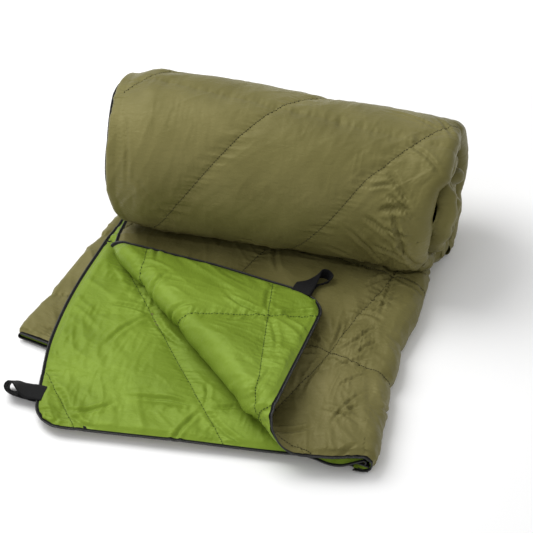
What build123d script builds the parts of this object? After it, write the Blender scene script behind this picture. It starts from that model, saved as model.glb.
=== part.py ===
"""Quilted rectangular sleeping bag, folded in half, rolled from the head and left with one corner turned back.

Millimetres. The roll lies along X with the zip side at -X and the fold at +X. The free foot end points to -Y and
+Z is up. The floor touches z = 0. Two quilts lie in the bundle: the outer panel wraps round the inner panel, and
each of them turns round at +X, so there are four layers of quilt everywhere. Floor up: outer panel, inner panel,
inner panel, outer panel. The roll is a spiral of half turns about two axes one layer stack apart.
"""

import os
from math import atan2, cos, degrees, hypot, radians, sin

from build123d import *

# ---- driving sizes ----
HALF_WIDTH = 215.0       # half of the folded width
SHEET = 0.4              # thickness of the shell and the lining cloth
CLOTH_GAP = 0.25         # between a cloth and the wadding under it
LAYER_GAP = 0.3          # between one quilt and the next
ROLLED_QUILT = 4.2       # thickness of one quilt squeezed inside the roll
FREE_QUILT = 7.5         # thickness of one quilt lying free
SEAM_SLOT = 0.5          # half of the opening in a quilt's edge that lets the zip tape out

ROLL_RADIUS = 102.0      # outside of the first half turn
HALF_TURNS = 10
THIN_END = -30.0         # the quilts start to swell here
THICK_START = -60.0      # and are fully swollen here
FOLD_FOOT = -400.0       # foot edge at the fold
CORNER_FOOT = -428.0     # foot edge at the zip corner of the upper layers
UPPER_CORNER_RADIUS = 30.0
LOWER_TIP = (-286.0, -267.0)   # closed corner of the lower layers, which splay out
LOWER_SPLAY_Y = -70.0
LOWER_TIP_RADIUS = 12.0

TAPE_HALF = 0.25         # half thickness of the zip tape
TAPE_IN = 6.0            # tape held inside the quilt
TAPE_OUT = 7.0           # tape standing out of it
COIL_RADIUS = 1.25
COIL_OUT = 8.5           # coil centre, outside the quilt's edge
COIL_LAP = 0.5           # straight coils run this far into the coil round the fold
FOLD_COIL_RADIUS = 1.3

BEND_APEX = (-304.0, 1.0)                 # the folds of the turned-back corner fan out from here
BEND_ANGLES = (-45.8, -47.5, -49.2, -50.9)
BEND_STEP = 46.5                          # each of the four folds turns this far
BEND_GAP = 0.15

LOOP_WIDTH = 25.0        # hanging loop webbing, which straddles the tape and coil at its root
LOOP_LEG = 1.2
LOOP_INSIDE = 1.55       # half of the gap between the two legs over the coil
LOOP_FROM_CORNER = 48.0
LOOP_START = 0.3         # clear of the quilt's edge
LOOP_LEGS = 10.0         # length that straddles the tape and coil
LOOP_ROOT = 13.0         # whole length of the sewn root
LOOP_FLEX = 1.6          # gap that the loop flexes in
LOOP_NECK = 6.0
LOOP_REACH = 28.0        # from the flex to the centre of the round end
LOOP_BULGE = 3.3         # outside radius of the round end

SLIDER_FROM_TIP = 90.0
SLIDER_LENGTH = 14.0
PULL_LENGTH = 22.0


def stack(q):
    return 4 * q + 3 * LAYER_GAP


def turn_x(q):
    """X of the centre that the layers turn round at the fold."""
    return HALF_WIDTH - stack(q) / 2


EDGE_X = -HALF_WIDTH
FREE_STACK = stack(FREE_QUILT)
FREE_TURN_X = turn_x(FREE_QUILT)
PITCH = stack(ROLLED_QUILT) + LAYER_GAP
FOOT_SLOPE = (FOLD_FOOT - CORNER_FOOT) / (FREE_TURN_X - EDGE_X)
LOWER_LENGTH = hypot(FREE_TURN_X - LOWER_TIP[0], FOLD_FOOT - LOWER_TIP[1])
LOWER_ANGLE = degrees(atan2(FOLD_FOOT - LOWER_TIP[1], FREE_TURN_X - LOWER_TIP[0]))


# ---- cross-sections: x along the roll, d the depth into the bundle from its outer skin ----
def box(x0, x1, d0, d1):
    return ("box", x0, x1, d0, d1)


def turn(q, d0, d1):
    return ("turn", turn_x(q), stack(q), d0, d1)


def dot(x, d, r):
    return ("dot", x, d, r)


def band(q, d0, d1, low_left, low_right):
    """A cloth in both halves of the bundle and round the fold, at depth d0 to d1 on the floor side."""
    h = stack(q)
    return [
        box(low_right, turn_x(q), d0, d1),
        turn(q, d0, d1),
        box(low_left, turn_x(q), h - d1, h - d0),
    ]


def outer_shell_section(q):
    h = stack(q)
    wall = EDGE_X + SHEET
    return band(q, 0, SHEET, EDGE_X, EDGE_X) + [
        box(EDGE_X, wall, 0, q),
        box(EDGE_X, wall, h - q / 2 + SEAM_SLOT, h),
    ]


def outer_lining_section(q):
    h = stack(q)
    wall = EDGE_X + SHEET
    return band(q, q - SHEET, q, EDGE_X, wall + CLOTH_GAP) + [
        box(EDGE_X, wall, h - q, h - q / 2 - SEAM_SLOT),
    ]


def inner_lining_section(q):
    h = stack(q)
    low = q + LAYER_GAP
    wall = EDGE_X + SHEET
    return band(q, low, low + SHEET, EDGE_X, wall + CLOTH_GAP) + [
        box(EDGE_X, wall, h - low - q / 2 + SEAM_SLOT, h - low),
    ]


def inner_shell_section(q):
    h = stack(q)
    high = 2 * q + LAYER_GAP
    wall = EDGE_X + SHEET
    return band(q, high - SHEET, high, EDGE_X, EDGE_X) + [
        box(EDGE_X, wall, q + LAYER_GAP, high),
        box(EDGE_X, wall, h - high, h - high + q / 2 - SEAM_SLOT),
    ]


def wadding_section(q, low):
    skin = SHEET + CLOTH_GAP
    return band(q, low + skin, low + q - skin, EDGE_X + TAPE_IN + 0.4, EDGE_X + skin)


def outer_wadding_section(q):
    return wadding_section(q, 0)


def inner_wadding_section(q):
    return wadding_section(q, q + LAYER_GAP)


def tape_section(depth):
    return [box(EDGE_X - TAPE_OUT, EDGE_X + TAPE_IN, depth - TAPE_HALF, depth + TAPE_HALF)]


def outer_tape_section(q):
    return tape_section(stack(q) - q / 2)


def inner_tape_section(q):
    return tape_section(stack(q) - 1.5 * q - LAYER_GAP)


def outer_coil_section(q):
    return [dot(EDGE_X - COIL_OUT, stack(q) - q / 2, COIL_RADIUS)]


def inner_coil_section(q):
    return [dot(EDGE_X - COIL_OUT, stack(q) - 1.5 * q - LAYER_GAP, COIL_RADIUS)]


def draw(piece):
    """Draws one outline of a cross-section in the sketch that is open."""
    kind, *v = piece
    if kind == "box":
        x0, x1, d0, d1 = v
        with Locations(((x0 + x1) / 2, (d0 + d1) / 2)):
            Rectangle(x1 - x0, d1 - d0)
    elif kind == "turn":
        x, h, d0, d1 = v
        with BuildLine() as line:
            Line((x, d0), (x, d1))
            ThreePointArc((x, d1), (x + h / 2 - d1, h / 2), (x, h - d1))
            Line((x, h - d1), (x, h - d0))
            ThreePointArc((x, h - d0), (x + h / 2 - d0, h / 2), (x, d0))
        make_face(line.edges())
    else:
        x, d, r = v
        with Locations((x, d)):
            Circle(r)


def section(plane, pieces):
    with BuildSketch(plane) as s:
        for piece in pieces:
            draw(piece)
    return s.sketch


def flat_plane(y):
    """Upright plane across the flat layers: its second axis is +Z and it faces -Y."""
    return Plane(origin=(0, y, 0), x_dir=(1, 0, 0), z_dir=(0, -1, 0))


def half_turn(k, pieces):
    """Half turn number k of the spiral, added to the part that is open."""
    radius = ROLL_RADIUS - k * PITCH / 2
    if k % 2 == 0:
        plane = Plane(origin=(0, 0, k * PITCH / 2), x_dir=(1, 0, 0), z_dir=(0, -1, 0))
        centre = ROLL_RADIUS
    else:
        centre = ROLL_RADIUS + PITCH / 2
        plane = Plane(origin=(0, 0, centre + radius), x_dir=(1, 0, 0), z_dir=(0, 1, 0))
    revolve(section(plane, pieces), axis=Axis((0, 0, centre), (1, 0, 0)), revolution_arc=180)


def rolled(profile):
    """The rolled length and the swelling length just in front of it, added to the part that is open."""
    thin = profile(ROLLED_QUILT)
    thick = profile(FREE_QUILT)
    for k in range(HALF_TURNS):
        half_turn(k, thin)
    extrude(section(flat_plane(0), thin), amount=-THIN_END)
    for a, b in zip(thin, thick):
        loft([section(flat_plane(THIN_END), [a]), section(flat_plane(THICK_START), [b])], ruled=True)


def fold_run(d0, d1, start=THICK_START, end=FOLD_FOOT):
    """The turn at the fold along the free length, from start to end."""
    extrude(section(flat_plane(start), [turn(FREE_QUILT, d0, d1)]), amount=start - end)


# ---- plan shapes of the free layers ----
def outline(points, corner, radius):
    with BuildSketch() as s:
        with BuildLine() as line:
            Polyline(*points, close=True)
        make_face(line.edges())
        fillet(s.vertices().sort_by_distance((corner[0], corner[1], 0))[0], radius)
    return s.sketch


BEYOND = FREE_TURN_X + 60.0
UPPER = outline(
    [(EDGE_X, 0), (EDGE_X, CORNER_FOOT), (BEYOND, FOLD_FOOT + 60 * FOOT_SLOPE), (BEYOND, 0)],
    (EDGE_X, CORNER_FOOT),
    UPPER_CORNER_RADIUS,
)
LOWER_SLOPE = (FOLD_FOOT - LOWER_TIP[1]) / (FREE_TURN_X - LOWER_TIP[0])
LOWER = outline(
    [(EDGE_X, 0), (EDGE_X, LOWER_SPLAY_Y), LOWER_TIP, (BEYOND, FOLD_FOOT + 60 * LOWER_SLOPE), (BEYOND, 0)],
    LOWER_TIP,
    LOWER_TIP_RADIUS,
)


def area(shape, inset, hole=None):
    """A plan shape drawn in by inset (out when negative), as far as the fold and the swelling length.

    With a hole, only the rim between the two insets is left.
    """
    with BuildSketch() as s:
        add(shape)
        if inset:
            offset(amount=-inset, kind=Kind.INTERSECTION)
        if hole is not None:
            offset(shape, amount=-hole, kind=Kind.INTERSECTION, mode=Mode.SUBTRACT)
        with Locations((FREE_TURN_X, THICK_START)):
            Rectangle(800, 800, align=(Align.MAX, Align.MAX), mode=Mode.INTERSECT)
    return s.sketch


def slab(shape, z0, z1):
    extrude(shape.moved(Location((0, 0, z0))), amount=z1 - z0)


def lower_foot_point(along, out):
    """A point of the lower foot line: along it from the closed corner, and out of the quilt."""
    c = cos(radians(LOWER_ANGLE))
    s = sin(radians(LOWER_ANGLE))
    return (LOWER_TIP[0] + along * c + out * s, LOWER_TIP[1] + along * s - out * c)


def lower_foot_strip(inside, outside, start=3.0):
    with BuildSketch() as s:
        with BuildLine() as line:
            Polyline(
                lower_foot_point(start, -inside),
                lower_foot_point(start, outside),
                lower_foot_point(LOWER_LENGTH + 2, outside),
                lower_foot_point(LOWER_LENGTH + 2, -inside),
                close=True,
            )
        make_face(line.edges())
        with Locations((FREE_TURN_X, THICK_START)):
            Rectangle(800, 800, align=(Align.MAX, Align.MAX), mode=Mode.INTERSECT)
    return s.sketch


def closed_side_wall():
    """The rim of the lower layers along the closed side, clear of the foot edge."""
    with BuildSketch() as s:
        add(area(LOWER, 0, SHEET))
        with Locations((LOWER_TIP[0] - 20, LOWER_TIP[1] + 12)):
            Rectangle(300, 400, align=(Align.MIN, Align.MIN), mode=Mode.INTERSECT)
    return s.sketch


LOWER_OUTER_MID = FREE_QUILT / 2
LOWER_INNER_MID = 1.5 * FREE_QUILT + LAYER_GAP
UPPER_INNER_MID = FREE_STACK - LOWER_INNER_MID
UPPER_OUTER_MID = FREE_STACK - LOWER_OUTER_MID


def foot_wall(mid, shell_above):
    """Z range of the shell's share of an edge wall round a quilt whose middle is at mid."""
    if shell_above:
        return (mid + SEAM_SLOT, mid + FREE_QUILT / 2)
    return (mid - FREE_QUILT / 2, mid - SEAM_SLOT)


def upper_rim_path(mid):
    """Line of the zip coil round the free corner of an upper layer, at height mid."""
    side = EDGE_X - COIL_OUT
    drop = COIL_OUT * hypot(1, FOOT_SLOPE)
    corner_y = CORNER_FOOT - COIL_OUT * FOOT_SLOPE - drop
    with BuildLine() as line:
        Polyline(
            (side, THICK_START, mid),
            (side, corner_y, mid),
            (FREE_TURN_X + COIL_LAP, FOLD_FOOT - drop + COIL_LAP * FOOT_SLOPE, mid),
        )
        fillet(line.vertices().sort_by_distance((side, corner_y, mid))[0], UPPER_CORNER_RADIUS + COIL_OUT)
    return line.line


def upper_coil(mid):
    path = upper_rim_path(mid)
    with BuildSketch(Plane(origin=path @ 0, z_dir=path % 0)) as s:
        Circle(COIL_RADIUS)
    sweep(s.sketch, path=path)


def fold_coil(depth):
    """The coil round the fold at the foot edge."""
    y = FOLD_FOOT - COIL_OUT
    with BuildSketch(Plane(origin=(FREE_TURN_X, y, depth), x_dir=(0, 1, 0), z_dir=(1, 0, 0))) as s:
        Circle(FOLD_COIL_RADIUS)
    revolve(s.sketch, axis=Axis((FREE_TURN_X, y, FREE_STACK / 2), (0, -1, 0)), revolution_arc=180)


def lower_coil(mid):
    start = lower_foot_point(3.0, COIL_OUT)
    end = lower_foot_point(LOWER_LENGTH + 3.0, COIL_OUT)
    direction = (end[0] - start[0], end[1] - start[1], 0)
    with BuildSketch(Plane(origin=(start[0], start[1], mid), z_dir=direction)) as s:
        Circle(COIL_RADIUS)
    extrude(s.sketch, amount=hypot(end[0] - start[0], end[1] - start[1]))


# ---- the turned-back corner ----
def wedge(low, high):
    """Plan area between two directions seen from the apex of the folds, less the fold gap."""
    steps = max(2, int(abs(high - low) / 30) + 2)
    angles = [low + (high - low) * i / (steps - 1) for i in range(steps)]
    rim = [(BEND_APEX[0] + 1500 * cos(radians(a)), BEND_APEX[1] + 1500 * sin(radians(a))) for a in angles]
    with BuildSketch() as s:
        with BuildLine() as line:
            Polyline(BEND_APEX, *rim, close=True)
        make_face(line.edges())
        offset(amount=-BEND_GAP, kind=Kind.INTERSECTION)
    return s.sketch


WEDGES = (
    wedge(BEND_ANGLES[0], 70.0),
    wedge(BEND_ANGLES[1], BEND_ANGLES[0]),
    wedge(BEND_ANGLES[2], BEND_ANGLES[1]),
    wedge(BEND_ANGLES[3], BEND_ANGLES[2]),
    wedge(-130.0, BEND_ANGLES[3]),
)


def bend_axis(i):
    a = radians(BEND_ANGLES[i])
    return Axis((BEND_APEX[0], BEND_APEX[1], FREE_STACK), (-cos(a), -sin(a), 0))


def share(whole, i):
    """The share of an upper outer-panel piece between folds i and i + 1, lying flat."""
    with BuildPart() as piece:
        add(whole)
        extrude(WEDGES[i].moved(Location((0, 0, FREE_STACK / 2))), amount=FREE_STACK, mode=Mode.INTERSECT)
    return piece.part


def bent(part, folds):
    """Turns a flat piece through the given number of folds, the far one first."""
    for i in reversed(range(folds)):
        part = part.rotate(bend_axis(i), BEND_STEP)
    return part


def save(part, name):
    part.label = name
    export_step(part, f"parts/{name}.step")


os.makedirs("parts", exist_ok=True)

# ---- upper quilt of the outer panel, whole and flat, before its corner is cut loose ----
with BuildPart() as upper_shell:
    slab(area(UPPER, 0), FREE_STACK - SHEET, FREE_STACK)
    slab(area(UPPER, 0, SHEET), *foot_wall(UPPER_OUTER_MID, True))

with BuildPart() as upper_lining:
    slab(area(UPPER, 0), FREE_STACK - FREE_QUILT, FREE_STACK - FREE_QUILT + SHEET)
    slab(area(UPPER, 0, SHEET), *foot_wall(UPPER_OUTER_MID, False))

with BuildPart() as upper_wadding:
    slab(
        area(UPPER, TAPE_IN + 0.4),
        FREE_STACK - FREE_QUILT + SHEET + CLOTH_GAP,
        FREE_STACK - SHEET - CLOTH_GAP,
    )

with BuildPart() as upper_tape:
    slab(area(UPPER, -TAPE_OUT, TAPE_IN), UPPER_OUTER_MID - TAPE_HALF, UPPER_OUTER_MID + TAPE_HALF)

with BuildPart() as upper_zip_coil:
    upper_coil(UPPER_OUTER_MID)

# ---- outer panel: the skin of the roll, the floor layer and the top layer ----
with BuildPart() as outer_shell:
    rolled(outer_shell_section)
    fold_run(0, SHEET)
    fold_run(0, FREE_QUILT / 2 - SEAM_SLOT, FOLD_FOOT + SHEET)
    slab(area(LOWER, 0), 0, SHEET)
    slab(area(LOWER, 0, SHEET), *foot_wall(LOWER_OUTER_MID, False))
    slab(closed_side_wall(), 0, FREE_QUILT)
    add(share(upper_shell.part, 0))

with BuildPart() as outer_lining:
    rolled(outer_lining_section)
    fold_run(FREE_QUILT - SHEET, FREE_QUILT)
    fold_run(FREE_QUILT / 2 + SEAM_SLOT, FREE_QUILT, FOLD_FOOT + SHEET)
    slab(area(LOWER, SHEET + CLOTH_GAP), FREE_QUILT - SHEET, FREE_QUILT)
    slab(lower_foot_strip(SHEET, 0, 14.0), LOWER_OUTER_MID + SEAM_SLOT, FREE_QUILT)
    slab(lower_foot_strip(SHEET + 1, 0, 14.0), FREE_QUILT - SHEET, FREE_QUILT)
    add(share(upper_lining.part, 0))

with BuildPart() as outer_zip_tape:
    rolled(outer_tape_section)
    fold_run(
        LOWER_OUTER_MID - TAPE_HALF,
        LOWER_OUTER_MID + TAPE_HALF,
        FOLD_FOOT + TAPE_IN,
        FOLD_FOOT - TAPE_OUT,
    )
    slab(lower_foot_strip(TAPE_IN, TAPE_OUT, 14.0), LOWER_OUTER_MID - TAPE_HALF, LOWER_OUTER_MID + TAPE_HALF)
    add(share(upper_tape.part, 0))

with BuildPart() as outer_zip_coil:
    rolled(outer_coil_section)
    fold_coil(LOWER_OUTER_MID)
    lower_coil(LOWER_OUTER_MID)
    add(share(upper_zip_coil.part, 0))

# ---- inner panel: the two middle layers ----
with BuildPart() as inner_lining:
    rolled(inner_lining_section)
    fold_run(FREE_QUILT + LAYER_GAP, FREE_QUILT + LAYER_GAP + SHEET)
    fold_run(FREE_QUILT + LAYER_GAP, LOWER_INNER_MID - SEAM_SLOT, FOLD_FOOT + SHEET)
    slab(area(LOWER, SHEET + CLOTH_GAP), FREE_QUILT + LAYER_GAP, FREE_QUILT + LAYER_GAP + SHEET)
    slab(lower_foot_strip(SHEET, 0, 14.0), FREE_QUILT + LAYER_GAP, LOWER_INNER_MID - SEAM_SLOT)
    slab(lower_foot_strip(SHEET + 1, 0, 14.0), FREE_QUILT + LAYER_GAP, FREE_QUILT + LAYER_GAP + SHEET)
    slab(area(UPPER, 0), UPPER_INNER_MID + FREE_QUILT / 2 - SHEET, UPPER_INNER_MID + FREE_QUILT / 2)
    slab(area(UPPER, 0, SHEET), *foot_wall(UPPER_INNER_MID, True))

with BuildPart() as inner_shell:
    rolled(inner_shell_section)
    fold_run(2 * FREE_QUILT + LAYER_GAP - SHEET, 2 * FREE_QUILT + LAYER_GAP)
    fold_run(LOWER_INNER_MID + SEAM_SLOT, 2 * FREE_QUILT + LAYER_GAP, FOLD_FOOT + SHEET)
    slab(area(LOWER, 0), 2 * FREE_QUILT + LAYER_GAP - SHEET, 2 * FREE_QUILT + LAYER_GAP)
    slab(area(LOWER, 0, SHEET), *foot_wall(LOWER_INNER_MID, True))
    slab(closed_side_wall(), FREE_QUILT + LAYER_GAP, 2 * FREE_QUILT + LAYER_GAP)
    slab(area(UPPER, 0), UPPER_INNER_MID - FREE_QUILT / 2, UPPER_INNER_MID - FREE_QUILT / 2 + SHEET)
    slab(area(UPPER, 0, SHEET), *foot_wall(UPPER_INNER_MID, False))

with BuildPart() as inner_zip_tape:
    rolled(inner_tape_section)
    fold_run(
        LOWER_INNER_MID - TAPE_HALF,
        LOWER_INNER_MID + TAPE_HALF,
        FOLD_FOOT + TAPE_IN,
        FOLD_FOOT - TAPE_OUT,
    )
    slab(lower_foot_strip(TAPE_IN, TAPE_OUT, 14.0), LOWER_INNER_MID - TAPE_HALF, LOWER_INNER_MID + TAPE_HALF)
    slab(area(UPPER, -TAPE_OUT, TAPE_IN), UPPER_INNER_MID - TAPE_HALF, UPPER_INNER_MID + TAPE_HALF)

with BuildPart() as inner_zip_coil:
    rolled(inner_coil_section)
    fold_coil(LOWER_INNER_MID)
    lower_coil(LOWER_INNER_MID)
    upper_coil(UPPER_INNER_MID)


# ---- wadding, in a rolled length and a free length for each panel ----
def lower_wadding(low):
    skin = SHEET + CLOTH_GAP
    slab(area(LOWER, TAPE_IN + 0.4), low + skin, low + FREE_QUILT - skin)


with BuildPart() as outer_roll_wadding:
    rolled(outer_wadding_section)

with BuildPart() as inner_roll_wadding:
    rolled(inner_wadding_section)

with BuildPart() as outer_free_wadding:
    fold_run(
        SHEET + CLOTH_GAP,
        FREE_QUILT - SHEET - CLOTH_GAP,
        THICK_START - CLOTH_GAP,
        FOLD_FOOT + TAPE_IN + 0.4,
    )
    lower_wadding(0)
    add(share(upper_wadding.part, 0))

with BuildPart() as inner_free_wadding:
    fold_run(
        FREE_QUILT + LAYER_GAP + SHEET + CLOTH_GAP,
        2 * FREE_QUILT + LAYER_GAP - SHEET - CLOTH_GAP,
        THICK_START - CLOTH_GAP,
        FOLD_FOOT + TAPE_IN + 0.4,
    )
    lower_wadding(FREE_QUILT + LAYER_GAP)
    slab(
        area(UPPER, TAPE_IN + 0.4),
        UPPER_INNER_MID - FREE_QUILT / 2 + SHEET + CLOTH_GAP,
        UPPER_INNER_MID + FREE_QUILT / 2 - SHEET - CLOTH_GAP,
    )

save(outer_shell.part, "outer_shell")
save(outer_lining.part, "outer_lining")
save(outer_roll_wadding.part, "outer_roll_wadding")
save(outer_free_wadding.part, "outer_free_wadding")
save(outer_zip_tape.part, "outer_zip_tape")
save(outer_zip_coil.part, "outer_zip_coil")
save(inner_shell.part, "inner_shell")
save(inner_lining.part, "inner_lining")
save(inner_roll_wadding.part, "inner_roll_wadding")
save(inner_free_wadding.part, "inner_free_wadding")
save(inner_zip_tape.part, "inner_zip_tape")
save(inner_zip_coil.part, "inner_zip_coil")

# ---- the bend and the flap ----
UPPER_LAYERS = {
    "shell": upper_shell.part,
    "wadding": upper_wadding.part,
    "lining": upper_lining.part,
    "zip_tape": upper_tape.part,
    "zip_coil": upper_zip_coil.part,
}
for layer, whole in UPPER_LAYERS.items():
    for i in (1, 2, 3):
        save(bent(share(whole, i), i), f"bend_{i}_{layer}")
    save(bent(share(whole, 4), 4), f"flap_{layer}")


# ---- hanging loops: a short root sewn over the tape, then the loop that flexes ----
LOOP_Y = CORNER_FOOT + LOOP_FROM_CORNER
ROOT_X = EDGE_X - LOOP_START
LOOP_X = ROOT_X - LOOP_ROOT - LOOP_FLEX


def loop_root(mid):
    """Both legs of the webbing from the quilt's edge over the coil to where they come together."""
    outer = LOOP_INSIDE + LOOP_LEG
    with BuildSketch(flat_plane(LOOP_Y)) as s:
        with BuildLine() as line:
            Polyline(
                (ROOT_X, mid - outer),
                (ROOT_X, mid + outer),
                (ROOT_X - LOOP_LEGS, mid + outer),
                (ROOT_X - LOOP_ROOT, mid + LOOP_LEG),
                (ROOT_X - LOOP_ROOT, mid - LOOP_LEG),
                (ROOT_X - LOOP_LEGS, mid - outer),
                close=True,
            )
        make_face(line.edges())
        with Locations((ROOT_X, mid)):
            Rectangle(LOOP_LEGS, 2 * LOOP_INSIDE, align=(Align.MAX, Align.CENTER), mode=Mode.SUBTRACT)
    extrude(s.sketch, amount=LOOP_WIDTH / 2, both=True)


def loop_body(mid):
    """The free part of the loop: a neck where the legs lie together, opening into a round end."""
    end = LOOP_X - LOOP_REACH
    with BuildSketch(flat_plane(LOOP_Y)) as s:
        with BuildLine() as line:
            Polyline(
                (LOOP_X, mid - LOOP_LEG),
                (LOOP_X, mid + LOOP_LEG),
                (LOOP_X - LOOP_NECK / 2, mid + LOOP_LEG),
                (end, mid + LOOP_BULGE),
                (end, mid - LOOP_BULGE),
                (LOOP_X - LOOP_NECK / 2, mid - LOOP_LEG),
                close=True,
            )
        make_face(line.edges())
        with Locations((end, mid)):
            Circle(LOOP_BULGE)
        with BuildLine() as hollow:
            Polyline(
                (LOOP_X - LOOP_NECK, mid),
                (end, mid + LOOP_BULGE - LOOP_LEG),
                (end, mid - LOOP_BULGE + LOOP_LEG),
                close=True,
            )
        make_face(hollow.edges(), mode=Mode.SUBTRACT)
        with Locations((end, mid)):
            Circle(LOOP_BULGE - LOOP_LEG, mode=Mode.SUBTRACT)
    extrude(s.sketch, amount=LOOP_WIDTH / 2, both=True)


with BuildPart() as corner_loop_root:
    loop_root(UPPER_INNER_MID)
save(corner_loop_root.part, "corner_loop_root")

with BuildPart() as corner_loop:
    loop_body(UPPER_INNER_MID)
save(corner_loop.part, "corner_loop")

with BuildPart() as flap_loop_root:
    loop_root(UPPER_OUTER_MID)
save(bent(flap_loop_root.part, 4), "flap_loop_root")

with BuildPart() as flap_loop:
    loop_body(UPPER_OUTER_MID)
save(bent(flap_loop.part, 4), "flap_loop")

# ---- zip slider on the lower foot edge, in its own axes: x along the edge, y into the quilt ----
SLIDER_ORIGIN = lower_foot_point(SLIDER_FROM_TIP, 0)
SLIDER_PLACE = Location((SLIDER_ORIGIN[0], SLIDER_ORIGIN[1], 0), (0, 0, LOWER_ANGLE))
COIL_BOTTOM = LOWER_OUTER_MID - COIL_RADIUS
COIL_TOP = LOWER_INNER_MID + COIL_RADIUS
SLIDER_GAP = 0.3
SLIDER_WALL = 0.9
SLIDER_LOW = COIL_BOTTOM - SLIDER_GAP - SLIDER_WALL
SLIDER_HIGH = COIL_TOP + SLIDER_GAP + SLIDER_WALL
SLIDER_MID = (SLIDER_LOW + SLIDER_HIGH) / 2
PLATE_Y = -COIL_OUT - COIL_RADIUS - SLIDER_GAP
PLATE = 1.4
PIVOT_Y = PLATE_Y - PLATE - 2.3
BRIDGE_HALF = 2.15


def block(x0, x1, y0, y1, z0, z1):
    with Locations(((x0 + x1) / 2, (y0 + y1) / 2, (z0 + z1) / 2)):
        Box(x1 - x0, y1 - y0, z1 - z0)


with BuildPart() as zip_slider:
    half = SLIDER_LENGTH / 2
    block(-half, half, PLATE_Y - PLATE, PLATE_Y, SLIDER_LOW, SLIDER_HIGH)
    block(-half, half, PLATE_Y, PLATE_Y + 3, SLIDER_LOW, SLIDER_LOW + SLIDER_WALL)
    block(-half, half, PLATE_Y, PLATE_Y + 3, SLIDER_HIGH - SLIDER_WALL, SLIDER_HIGH)
    block(-2, 2, PLATE_Y, -COIL_OUT + COIL_RADIUS + 1.6, SLIDER_MID - 1.4, SLIDER_MID + 1.4)
    block(-half + 1, half - 1, -COIL_OUT + COIL_RADIUS + 0.4, -COIL_OUT + COIL_RADIUS + 1.6,
          LOWER_OUTER_MID + 0.85, LOWER_INNER_MID - 0.85)
    for side in (-1, 1):
        near = SLIDER_MID + side * BRIDGE_HALF
        far = SLIDER_MID + side * (BRIDGE_HALF + 1.0)
        block(-0.8, 0.8, PIVOT_Y - 0.6, PLATE_Y - PLATE, min(near, far), max(near, far))
    block(-0.8, 0.8, PIVOT_Y - 0.6, PIVOT_Y + 0.6, SLIDER_MID - BRIDGE_HALF, SLIDER_MID + BRIDGE_HALF)
save(zip_slider.part.moved(SLIDER_PLACE), "zip_slider")

with BuildPart() as zip_pull:
    eye_height = 2 * (BRIDGE_HALF - 0.3)
    with Locations((0, PIVOT_Y, SLIDER_MID)):
        Cylinder(2.05, eye_height)
    block(1.3, PULL_LENGTH, PIVOT_Y - 0.6, PIVOT_Y + 0.6, SLIDER_MID - eye_height / 2, SLIDER_MID + eye_height / 2)
    with Locations((0, PIVOT_Y, SLIDER_MID)):
        Cylinder(1.25, eye_height + 1, mode=Mode.SUBTRACT)
save(zip_pull.part.moved(SLIDER_PLACE), "zip_pull")
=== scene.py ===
import itertools
import math

import bmesh
import bpy
import numpy as np
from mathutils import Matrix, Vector


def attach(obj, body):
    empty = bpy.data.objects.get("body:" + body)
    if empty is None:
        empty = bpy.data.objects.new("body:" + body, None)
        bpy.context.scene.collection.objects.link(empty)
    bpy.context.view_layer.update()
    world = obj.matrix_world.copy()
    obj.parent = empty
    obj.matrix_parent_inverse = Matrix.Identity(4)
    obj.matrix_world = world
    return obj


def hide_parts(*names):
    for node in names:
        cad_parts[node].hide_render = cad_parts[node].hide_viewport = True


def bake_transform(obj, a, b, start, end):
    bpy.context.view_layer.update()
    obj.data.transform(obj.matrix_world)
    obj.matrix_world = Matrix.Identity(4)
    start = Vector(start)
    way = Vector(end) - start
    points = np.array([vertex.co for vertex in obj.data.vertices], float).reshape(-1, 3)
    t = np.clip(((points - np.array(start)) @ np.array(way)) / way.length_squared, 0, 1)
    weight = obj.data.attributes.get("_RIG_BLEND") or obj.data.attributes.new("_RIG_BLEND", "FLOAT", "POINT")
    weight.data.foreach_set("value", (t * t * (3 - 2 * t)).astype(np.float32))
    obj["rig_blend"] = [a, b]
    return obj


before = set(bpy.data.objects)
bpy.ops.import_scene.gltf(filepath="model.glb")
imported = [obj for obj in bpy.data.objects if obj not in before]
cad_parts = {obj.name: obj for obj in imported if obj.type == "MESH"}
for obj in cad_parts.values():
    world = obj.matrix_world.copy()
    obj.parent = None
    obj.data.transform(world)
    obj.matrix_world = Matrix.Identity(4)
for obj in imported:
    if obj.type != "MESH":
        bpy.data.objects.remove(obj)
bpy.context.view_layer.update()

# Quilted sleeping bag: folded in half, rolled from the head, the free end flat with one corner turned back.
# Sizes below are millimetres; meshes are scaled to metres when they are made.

MM = 0.001

# ---- driving sizes ----
SIDE = -215.0            # zip side of the upper layers
FOOT = -400.0            # foot edge at the fold
HEAD = 2.0               # the free sheets end here, under the roll
WIDTH = 414.55           # zip side to the centre of the fold that joins the two halves
INNER_CORNER = 30.0      # corner radii of the two upper layers
OUTER_CORNER = 44.0
TURN_X = 199.55          # centre of the fold that joins the two halves
TURN_Z = 15.45
INNER_MID = 3.9          # mid-plane of the inner quilt above that centre
HALF = 3.75              # half of a free quilt
PUFF = 2.0               # the filling stands this much higher between the seams
SEAM = 0.6               # half thickness left at a seam
STEP = 3.0               # cloth grid

# the corner turns back round a cone: its tip, the borders of its strips as angles at the tip, the whole turn
APEX = (-304.0, 1.0, 30.9)
FOLD_BORDERS = (-44.95, -46.65, -48.35, -50.05, -51.75)
FOLD_TURN = 186.0
FLAT_SHARE = 0.0275      # part of the angle left flat at each end of the cone
FOLD_BODIES = ("quilt", "bend_1", "bend_2", "bend_3", "flap")
FOLD_PIECES = ("flat", "bend_1", "bend_2", "flap")

LOWER_TIP = (-286.0, -267.0)      # foot corners of the lower half
LOWER_FOOT = (199.55, -400.0)

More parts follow.
